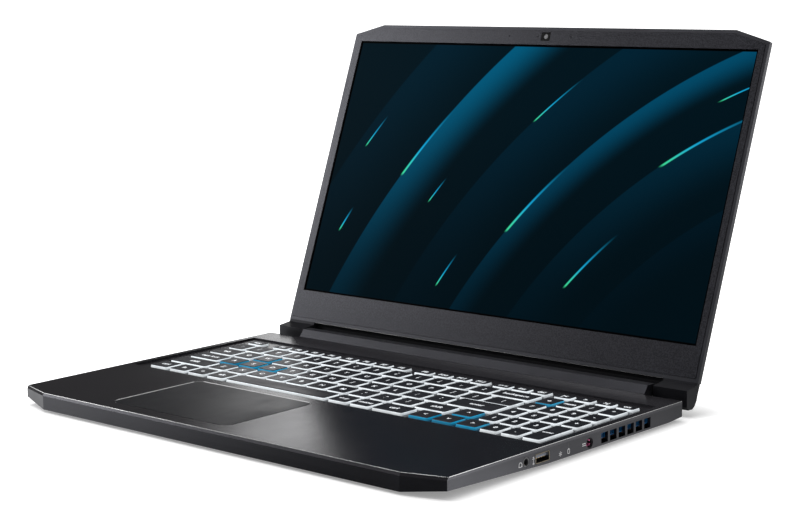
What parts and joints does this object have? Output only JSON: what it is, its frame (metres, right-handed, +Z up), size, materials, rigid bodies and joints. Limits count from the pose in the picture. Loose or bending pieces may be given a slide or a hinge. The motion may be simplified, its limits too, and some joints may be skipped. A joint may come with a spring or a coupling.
{
  "type": "laptop computer",
  "caption": "Open laptop computer with full keyboard and number pad, touchpad, screen in a hinged lid, side and rear sockets, vents and internal parts.",
  "frame": {"origin": "on the desk, under the middle of the box that the open laptop fills", "axes": "+X to the user's right, -Y towards the user, +Z up"},
  "size_m": [0.3634, 0.341, 0.2379],
  "materials": {
    "deck_metal": "dark satin",
    "lid_metal": "dark satin",
    "shell_plastic": "fine satin",
    "bezel_plastic": "fine grain",
    "foot_rubber": "matt",
    "screw_steel": "blackened",
    "frame_steel": "plain",
    "dome_rubber": "translucent",
    "touch_surface": "satin",
    "board": "lacquered",
    "chip": "polished",
    "copper": "plain copper",
    "fan_plastic": "moulded",
    "fin_metal": "blue anodised",
    "battery_wrap": "wrapped",
    "socket_plastic": "moulded",
    "socket_metal": "plated",
    "light_pipe": "clear",
    "screen_glass": "matt coated",
    "camera_glass": "polished",
    "key_black": "clear sides, painted dark top",
    "key_blue": "clear blue sides, painted dark top"
  },
  "bodies": {
    "base": {"bottom_cover": "deck_metal", "top_case": "deck_metal", "rear_cover": "shell_plastic", "rubber_feet": "foot_rubber", "case_screws": "screw_steel", "keyboard_plate": "frame_steel", "key_domes": "dome_rubber", "touchpad_bracket": "frame_steel", "mainboard": "board", "socket_board": "board", "processor": "chip", "graphics_chip": "chip", "heat_pipes": "copper", "fan_housings": "fan_plastic", "side_fins": "fin_metal", "rear_fins": "fin_metal", "battery": "battery_wrap", "storage_drive": "board", "memory_modules": "board", "wireless_card": "board", "speakers": "fan_plastic", "audio_jack": "socket_plastic", "power_jack": "socket_plastic", "data_sockets": "socket_metal", "network_socket": "socket_plastic", "rear_sockets": "socket_metal", "status_lights": "light_pipe", "hinge_bracket_left": "frame_steel", "hinge_bracket_right": "frame_steel"},
    "lid": {"lid_cover": "lid_metal", "lid_bezel": "bezel_plastic", "display_panel": "screen_glass", "camera_module": "camera_glass", "hinge_arm_left": "frame_steel", "hinge_arm_right": "frame_steel", "hinge_caps": "shell_plastic"},
    "touchpad": {"touchpad": "touch_surface"},
    "fan_rotor_left": {"fan_rotor_left": "fan_plastic"},
    "fan_rotor_right": {"fan_rotor_right": "fan_plastic"},
    "function_keys": {"function_keys": "key_black"},
    "system_keys": {"system_keys": "key_black"},
    "number_row_keys": {"number_row_keys": "key_black"},
    "upper_row_keys": {"upper_row_keys": "key_black"},
    "home_row_keys": {"home_row_keys": "key_black"},
    "lower_row_keys": {"lower_row_keys": "key_black"},
    "bottom_row_keys": {"bottom_row_keys": "key_black"},
    "number_pad_keys": {"number_pad_keys": "key_black"},
    "number_pad_enter": {"number_pad_enter": "key_black"},
    "key_escape": {"key_escape": "key_black"},
    "key_enter": {"key_enter": "key_black"},
    "key_space": {"key_space": "key_black"},
    "key_w": {"key_w": "key_blue"},
    "key_a": {"key_a": "key_blue"},
    "key_s": {"key_s": "key_blue"},
    "key_d": {"key_d": "key_blue"},
    "key_up": {"key_up": "key_blue"},
    "key_left_arrow": {"key_left_arrow": "key_blue"},
    "key_down": {"key_down": "key_blue"},
    "key_right_arrow": {"key_right_arrow": "key_blue"},
    "key_launch": {"key_launch": "key_blue"}
  },
  "joints": [
    {"name": "lid_hinge", "type": "hinge", "parent": "base", "child": "lid", "pos_m": [0, 0.07606, 0.0099], "axis": [1, 0, 0], "range_deg": [-35, 110.84]},
    {"name": "touchpad_click", "type": "hinge", "parent": "base", "child": "touchpad", "pos_m": [-0.0481, -0.08554, 0.0102], "axis": [1, 0, 0], "range_deg": [0, 0.6], "stiffness_Nm_per_rad": 3, "springref_deg": -2.86},
    {"name": "fan_left_spin", "type": "hinge", "parent": "base", "child": "fan_rotor_left", "pos_m": [-0.128, 0.01146, 0.005], "axis": [0, 0, 1], "continuous": true},
    {"name": "fan_right_spin", "type": "hinge", "parent": "base", "child": "fan_rotor_right", "pos_m": [0.128, 0.01146, 0.005], "axis": [0, 0, 1], "continuous": true},
    {"name": "function_keys_press", "type": "slide", "parent": "base", "child": "function_keys", "axis": [0, 0, -1], "range_m": [0, 0.0016], "stiffness_N_per_m": 1800, "springref_m": -0.0005},
    {"name": "system_keys_press", "type": "slide", "parent": "base", "child": "system_keys", "axis": [0, 0, -1], "range_m": [0, 0.0016], "stiffness_N_per_m": 1050, "springref_m": -0.0005},
    {"name": "number_row_keys_press", "type": "slide", "parent": "base", "child": "number_row_keys", "axis": [0, 0, -1], "range_m": [0, 0.0016], "stiffness_N_per_m": 2100, "springref_m": -0.0005},
    {"name": "upper_row_keys_press", "type": "slide", "parent": "base", "child": "upper_row_keys", "axis": [0, 0, -1], "range_m": [0, 0.0016], "stiffness_N_per_m": 1950, "springref_m": -0.0005},
    {"name": "home_row_keys_press", "type": "slide", "parent": "base", "child": "home_row_keys", "axis": [0, 0, -1], "range_m": [0, 0.0016], "stiffness_N_per_m": 1350, "springref_m": -0.0005},
    {"name": "lower_row_keys_press", "type": "slide", "parent": "base", "child": "lower_row_keys", "axis": [0, 0, -1], "range_m": [0, 0.0016], "stiffness_N_per_m": 1800, "springref_m": -0.0005},
    {"name": "bottom_row_keys_press", "type": "slide", "parent": "base", "child": "bottom_row_keys", "axis": [0, 0, -1], "range_m": [0, 0.0016], "stiffness_N_per_m": 1050, "springref_m": -0.0005},
    {"name": "number_pad_keys_press", "type": "slide", "parent": "base", "child": "number_pad_keys", "axis": [0, 0, -1], "range_m": [0, 0.0016], "stiffness_N_per_m": 2400, "springref_m": -0.0005},
    {"name": "number_pad_enter_press", "type": "slide", "parent": "base", "child": "number_pad_enter", "axis": [0, 0, -1], "range_m": [0, 0.0016], "stiffness_N_per_m": 300, "springref_m": -0.0005},
    {"name": "key_escape_press", "type": "slide", "parent": "base", "child": "key_escape", "axis": [0, 0, -1], "range_m": [0, 0.0016], "stiffness_N_per_m": 300, "springref_m": -0.0005},
    {"name": "key_enter_press", "type": "slide", "parent": "base", "child": "key_enter", "axis": [0, 0, -1], "range_m": [0, 0.0016], "stiffness_N_per_m": 300, "springref_m": -0.0005},
    {"name": "key_space_press", "type": "slide", "parent": "base", "child": "key_space", "axis": [0, 0, -1], "range_m": [0, 0.0016], "stiffness_N_per_m": 300, "springref_m": -0.0005},
    {"name": "key_w_press", "type": "slide", "parent": "base", "child": "key_w", "axis": [0, 0, -1], "range_m": [0, 0.0016], "stiffness_N_per_m": 300, "springref_m": -0.0005},
    {"name": "key_a_press", "type": "slide", "parent": "base", "child": "key_a", "axis": [0, 0, -1], "range_m": [0, 0.0016], "stiffness_N_per_m": 300, "springref_m": -0.0005},
    {"name": "key_s_press", "type": "slide", "parent": "base", "child": "key_s", "axis": [0, 0, -1], "range_m": [0, 0.0016], "stiffness_N_per_m": 300, "springref_m": -0.0005},
    {"name": "key_d_press", "type": "slide", "parent": "base", "child": "key_d", "axis": [0, 0, -1], "range_m": [0, 0.0016], "stiffness_N_per_m": 300, "springref_m": -0.0005},
    {"name": "key_up_press", "type": "slide", "parent": "base", "child": "key_up", "axis": [0, 0, -1], "range_m": [0, 0.0016], "stiffness_N_per_m": 300, "springref_m": -0.0005},
    {"name": "key_left_arrow_press", "type": "slide", "parent": "base", "child": "key_left_arrow", "axis": [0, 0, -1], "range_m": [0, 0.0016], "stiffness_N_per_m": 300, "springref_m": -0.0005},
    {"name": "key_down_press", "type": "slide", "parent": "base", "child": "key_down", "axis": [0, 0, -1], "range_m": [0, 0.0016], "stiffness_N_per_m": 300, "springref_m": -0.0005},
    {"name": "key_right_arrow_press", "type": "slide", "parent": "base", "child": "key_right_arrow", "axis": [0, 0, -1], "range_m": [0, 0.0016], "stiffness_N_per_m": 300, "springref_m": -0.0005},
    {"name": "key_launch_press", "type": "slide", "parent": "base", "child": "key_launch", "axis": [0, 0, -1], "range_m": [0, 0.0016], "stiffness_N_per_m": 300, "springref_m": -0.0005}
  ]
}
